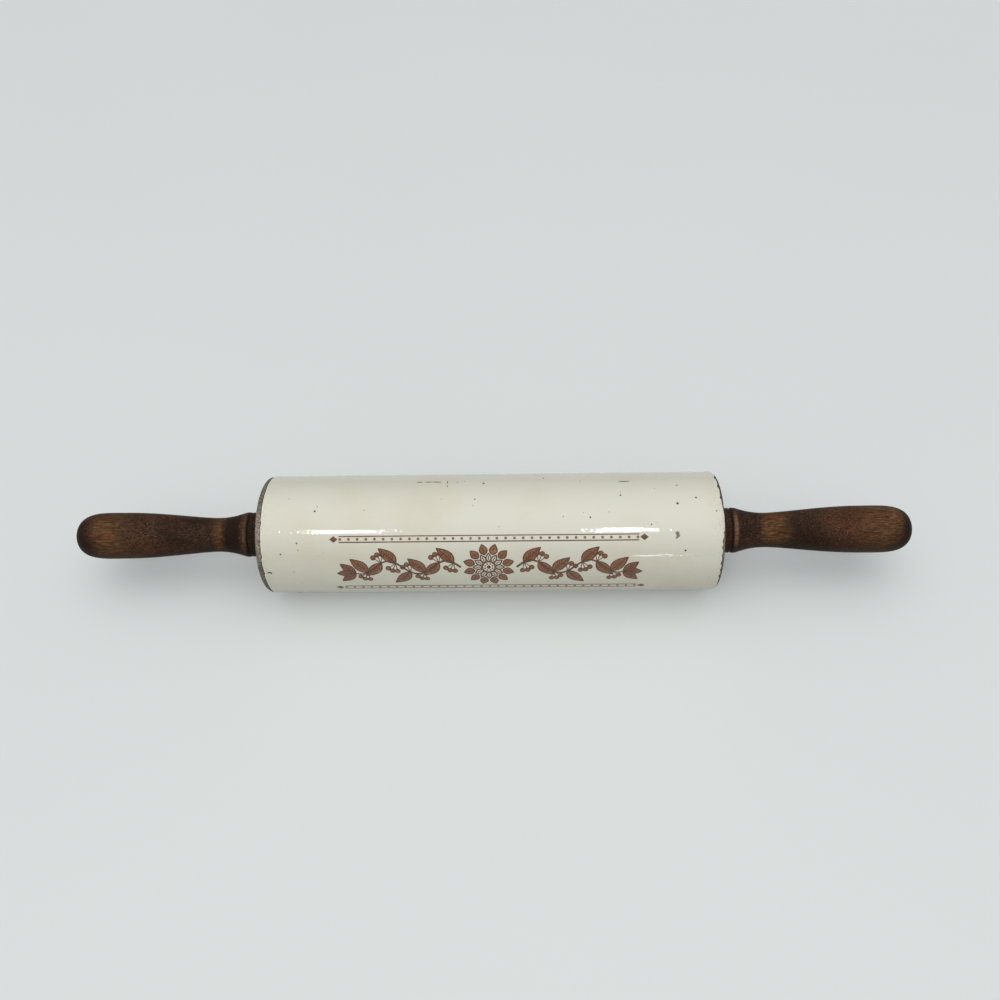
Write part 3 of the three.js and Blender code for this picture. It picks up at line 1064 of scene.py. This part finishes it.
# Short scratches: start and end in the same measures, and width in millimetres
SCRATCHES = (
    ((-35.6, 109.2), (-33, 109), 0.5), ((-31.5, 109), (-28.4, 109.4), 0.6),
    ((-28, 109.4), (-23.5, 108.8), 0.55), ((-20.6, 110.5), (-20.3, 106), 0.4),
    ((-20.5, 103), (-20.2, 100.5), 0.4), ((64, 107), (69.2, 106.8), 0.6),
    ((-108.3, 12.8), (-107.4, 13.8), 0.7), ((-107.4, 13.8), (-106.1, 12.5), 0.9),
)
SCRATCH_STEPS = 6
SCRATCH_WANDER = 0.12


def blunt(width):
    """Width along a scratch, which is narrow but not pointed at its ends."""
    return lambda share: width * (0.3 + 0.7 * math.sin(math.pi * min(max(share, 0.1), 0.9)))


def make_specks():
    """Specks and scratches seen on the front, and more specks where the photograph doesn't reach."""
    dice = random.Random(SPECK_SEED)
    marks = list(SPECKS)
    for _ in range(HIDDEN_SPECKS):
        along = dice.uniform(-HIDDEN_REACH, HIDDEN_REACH)
        marks.append((along, dice.uniform(*HIDDEN_DEGREES), dice.uniform(*HIDDEN_WIDTHS)))
    sheet = bmesh.new()
    degree = math.radians(1) * ROLLER_RADIUS / MM
    for along, degrees, width in marks:
        blob = []
        for i in range(SPECK_POINTS):
            reach = width / 2 * dice.uniform(*SPECK_RAGGED)
            blob.append(around((along, degrees * degree), reach, FULL_TURN * i / SPECK_POINTS))
        add_patch(sheet, blob)
    for (start, start_degrees), (end, end_degrees), width in SCRATCHES:
        path = []
        for i in range(SCRATCH_STEPS + 1):
            t = i / SCRATCH_STEPS
            height = (start_degrees + (end_degrees - start_degrees) * t) * degree
            path.append((start + (end - start) * t, height + dice.uniform(-SCRATCH_WANDER, SCRATCH_WANDER)))
        add_stroke(sheet, path, blunt(width))
    wrapped("glaze_specks", sheet, 0.0, [speck_material()])


# Object

def dress(piece, body, node):
    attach(piece, body)
    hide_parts(node)


def make_pin():
    dress(make_barrel(), "roller", "roller")
    steel = steel_material()
    nylon = nylon_material()
    ends = (("left", ROLLER_LOW.x, -1, LEFT_WEAR), ("right", ROLLER_HIGH.x, 1, RIGHT_WEAR))
    for side, end_x, outward, wear in ends:
        dress(make_bush(side, end_x, -outward, nylon), "roller", f"{side}_bush")
        dress(make_washer(side, steel), "washers", f"{side}_washer")
        dress(make_handle(side, outward, wear), "spindle", f"{side}_handle")
    dress(make_rod(steel), "spindle", "axle_rod")
    make_print()
    make_specks()


# Floor, light and camera

# Colour of the room, and its even strength as light on the object and as a pale background
ROOM_COLOUR = (0.97, 0.98, 0.985, 1.0)
ROOM_LIGHT = 0.1
ROOM_SEEN = 0.42

# Soft glow on top of that: its strength, its focus and its middle's degrees above the front
GLOW = 1.48
GLOW_FOCUS = 2.5
GLOW_ELEVATION = 80

# Distance of the lamps from the pin's axis
LAMP_DISTANCE = 1.8

# The floor: its reach, its drop clear of the barrel's specks, its colour for the light that it throws back,
# the share of its paleness that is its own, and the level of that share
FLOOR_REACH = 4.0
FLOOR_DROP = 0.06 * MM
FLOOR_BOUNCE = srgb(178, 180, 178)
FLOOR_OWN = 0.12
FLOOR_LEVEL = 0.9

# Camera of the photograph, found by fitting the barrel's rims and the handles' outlines
CAMERA_ELEVATION = math.radians(52)
CAMERA_DISTANCE = 441.2 * MM
CAMERA_SIDEWAYS = 18 * MM
CAMERA_YAW = math.radians(-1.69)
CAMERA_PITCH = math.radians(2.15)
CAMERA_ROLL = math.radians(-0.52)
CAMERA_CLIP = 10 * MM
SENSOR_WIDTH = 36.0
FOCAL_SHARE = 0.86


def floor_material():
    """Plain table top, pale to the eye, that throws only a part of the light back on the object."""
    shader = Shader("pale_floor")
    colour = shader.mix(shader.noise(0.35, detail=3), srgb(231, 236, 235), srgb(235, 239, 238))
    seen = shader.seen()
    lit = shader.mix(seen, FLOOR_BOUNCE, shader.mix(FLOOR_OWN, colour, srgb(0, 0, 0)))
    own = shader.times(seen, FLOOR_OWN * FLOOR_LEVEL)
    return shader.surface(Base_Color=lit, Roughness=0.6, Emission_Color=colour, Emission_Strength=own)


def make_floor():
    mesh = bpy.data.meshes.new("floor")
    ways = ((-1, -1), (1, -1), (1, 1), (-1, 1))
    corners = [(FLOOR_REACH * x, FLOOR_REACH * y, -FLOOR_DROP) for x, y in ways]
    mesh.from_pydata(corners, [], [(0, 1, 2, 3)])
    mesh.materials.append(floor_material())
    placed("floor", mesh)


def add_panel(name, sideways, elevation, width, height, watts):
    """Rectangular lamp in front of and above the pin, its width along the pin, facing the pin's axis."""
    lamp = bpy.data.lights.new(name, "AREA")
    lamp.shape = "RECTANGLE"
    lamp.size = width
    lamp.size_y = height
    lamp.energy = watts
    panel = placed(name, lamp)
    panel.visible_camera = False
    back = Vector(upper_front(elevation))
    right = Vector((1, 0, 0))
    turn = Matrix((right, back.cross(right), back)).transposed().to_4x4()
    place = Vector((ROLLER_MIDDLE + sideways, 0, AXIS_Z)) + LAMP_DISTANCE * back
    panel.matrix_world = Matrix.Translation(place) @ turn


def light_scene():
    add_panel("left_lamp", sideways=-0.45, elevation=55.4, width=0.15, height=0.2, watts=1.8)
    add_panel("right_lamp", sideways=0.265, elevation=54.2, width=0.11, height=0.2, watts=1.8)
    add_panel("low_lamp", sideways=0.355, elevation=4.5, width=0.11, height=0.06, watts=0.22)
    world = bpy.data.worlds.new("soft_room")
    world.use_nodes = True
    graph = Graph(world.node_tree, "Generated")
    upward = graph.larger(graph.along(upper_front(GLOW_ELEVATION), (0.0, 0.0, 0.0)), 0.0)
    glow = graph.times(graph.maths("POWER", upward, GLOW_FOCUS), GLOW)
    level = graph.fade(graph.seen(), 0.0, 1.0, ROOM_LIGHT, ROOM_SEEN)
    background = graph.nodes["Background"]
    background.inputs["Color"].default_value = ROOM_COLOUR
    graph.feed(background.inputs["Strength"], graph.maths("ADD", level, glow))
    bpy.context.scene.world = world


def turned_pair(first, second, angle):
    """Two directions at a right angle, turned in their plane from the first towards the second."""
    c, s = math.cos(angle), math.sin(angle)
    return c * first + s * second, c * second - s * first


def add_camera():
    camera = bpy.data.cameras.new("camera")
    camera.sensor_width = SENSOR_WIDTH
    camera.lens = SENSOR_WIDTH * FOCAL_SHARE
    camera.clip_start = CAMERA_CLIP
    view = placed("camera", camera)
    bpy.context.scene.camera = view
    level = Vector((0, math.cos(CAMERA_ELEVATION), -math.sin(CAMERA_ELEVATION)))
    rise = Vector((0, math.sin(CAMERA_ELEVATION), math.cos(CAMERA_ELEVATION)))
    ahead, side = turned_pair(level, Vector((1, 0, 0)), CAMERA_YAW)
    forward, up = turned_pair(ahead, rise, CAMERA_PITCH)
    right, up = turned_pair(side, up, CAMERA_ROLL)
    turn = Matrix((right, up, -forward)).transposed().to_4x4()
    place = Vector((ROLLER_MIDDLE + CAMERA_SIDEWAYS, 0, AXIS_Z)) - CAMERA_DISTANCE * level
    view.matrix_world = Matrix.Translation(place) @ turn


add_camera()
make_pin()
make_floor()
light_scene()
bpy.context.scene.view_settings.view_transform = "Standard"
